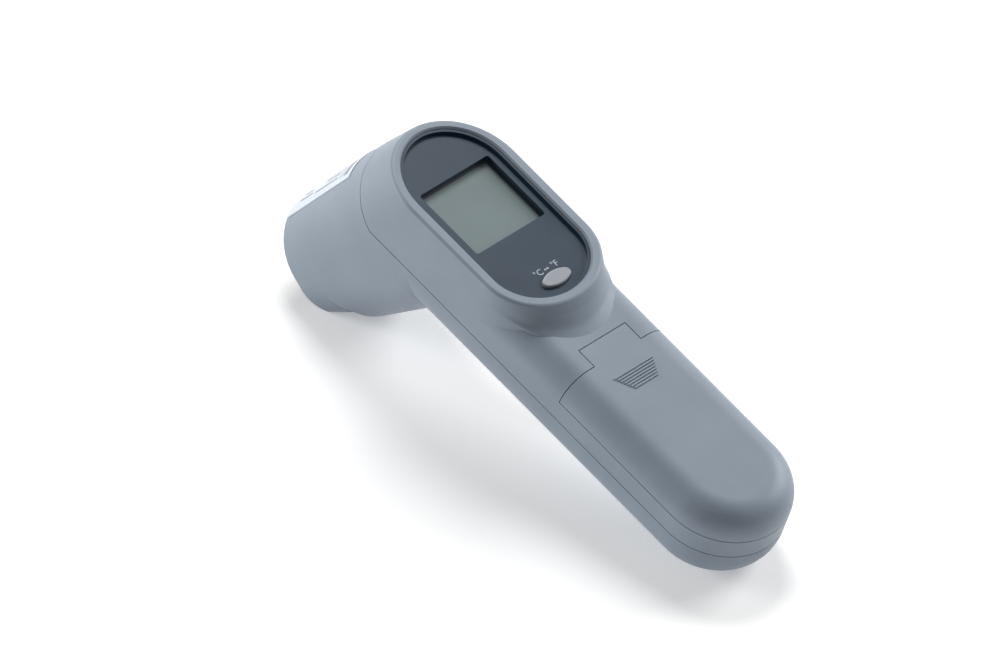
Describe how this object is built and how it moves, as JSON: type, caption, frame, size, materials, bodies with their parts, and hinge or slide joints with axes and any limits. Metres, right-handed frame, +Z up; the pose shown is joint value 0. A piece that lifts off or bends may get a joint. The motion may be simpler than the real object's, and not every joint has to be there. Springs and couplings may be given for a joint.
{
  "type": "infrared thermometer",
  "caption": "Pistol-shaped infrared thermometer with a raised display housing, unit key, squeeze trigger, recessed lens and a sliding battery door on its handle.",
  "frame": {"origin": "on the surface the object rests on, under the middle of its overall box", "axes": "+X from the nose to the tail of the handle, +Y to the user's right, +Z up; the object lies on its nose's lower edge and its tail"},
  "size_m": [0.1789, 0.039, 0.067],
  "materials": {
    "shell": "fine moulded texture, grey with a cool cast",
    "key": "satin light grey",
    "trigger_plastic": "fine texture, dark grey",
    "panel": "satin dark slate blue",
    "lcd": "grey-green liquid crystal glass",
    "inner_plastic": "black moulding",
    "bezel": "dark moulding with fine texture",
    "lens": "milky polyethylene",
    "window": "clear",
    "label": "smooth printed film",
    "circuit_board": "solder mask",
    "chip": "moulded epoxy",
    "switch_plunger": "moulded nylon",
    "rubber": "conductive silicone",
    "foam": "closed-cell foam",
    "screw_steel": "zinc plated",
    "spring_steel": "nickel plated wire",
    "contact_nickel": "nickel plated strip",
    "brass": "turned",
    "sensor_metal": "machined",
    "cell_jacket": "plain shrink sleeve",
    "wire": "PVC insulation"
  },
  "bodies": {
    "case": {"barrel_label": "label", "battery_1": "cell_jacket", "battery_2": "cell_jacket", "battery_leads": "wire", "battery_tray": "inner_plastic", "board_screws": "screw_steel", "bridge_contact": "contact_nickel", "bridge_spring": "spring_steel", "buzzer": "chip", "capacitors": "chip", "case_screws": "screw_steel", "display_panel": "panel", "front_shell": "shell", "ir_lens": "lens", "laser_clamp": "inner_plastic", "laser_module": "brass", "laser_window": "window", "lcd_holder": "inner_plastic", "lcd_module": "lcd", "lens_retainer": "inner_plastic", "main_board": "circuit_board", "main_chip": "chip", "memory_chip": "chip", "negative_contact": "contact_nickel", "negative_spring": "spring_steel", "nose_bezel": "bezel", "positive_contact": "contact_nickel", "rear_shell": "shell", "sensor_block": "sensor_metal", "sensor_board": "circuit_board", "sensor_tube": "inner_plastic", "switch_board": "circuit_board", "switch_board_screws": "screw_steel", "switch_leads": "wire", "tail_screw": "screw_steel", "thermopile_sensor": "sensor_metal", "trigger_spring": "spring_steel", "trigger_switch": "chip", "unit_switch": "chip", "zebra_strip": "rubber"},
    "trigger": {"trigger": "trigger_plastic"},
    "trigger_plunger": {"trigger_switch_plunger": "switch_plunger"},
    "key": {"unit_button": "key", "unit_switch_plunger": "switch_plunger"},
    "door": {"battery_door": "shell", "door_foam": "foam"}
  },
  "joints": [
    {"name": "trigger_squeeze", "type": "hinge", "parent": "case", "child": "trigger", "pos_m": [-0.02188, 0, 0.02904], "axis": [0, -1, 0], "range_deg": [0, 3.5], "stiffness_Nm_per_rad": 0.3, "springref_deg": -8.59, "deforming": ["trigger_spring"]},
    {"name": "trigger_switch_press", "type": "slide", "parent": "case", "child": "trigger_plunger", "axis": [0.2412, 0, 0.9705], "range_m": [0, 0.00052]},
    {"name": "unit_key_press", "type": "slide", "parent": "case", "child": "key", "axis": [-0.2412, 0, -0.9705], "range_m": [0, 0.0005], "stiffness_N_per_m": 800, "springref_m": -0.001},
    {"name": "battery_door_slide", "type": "slide", "parent": "case", "child": "door", "axis": [0.9705, 0, -0.2412], "range_m": [0, 0.068]}
  ],
  "couplings": [
    {"joint": "trigger_switch_press", "follows": "trigger_squeeze", "m_per_rad": 0.0085}
  ]
}
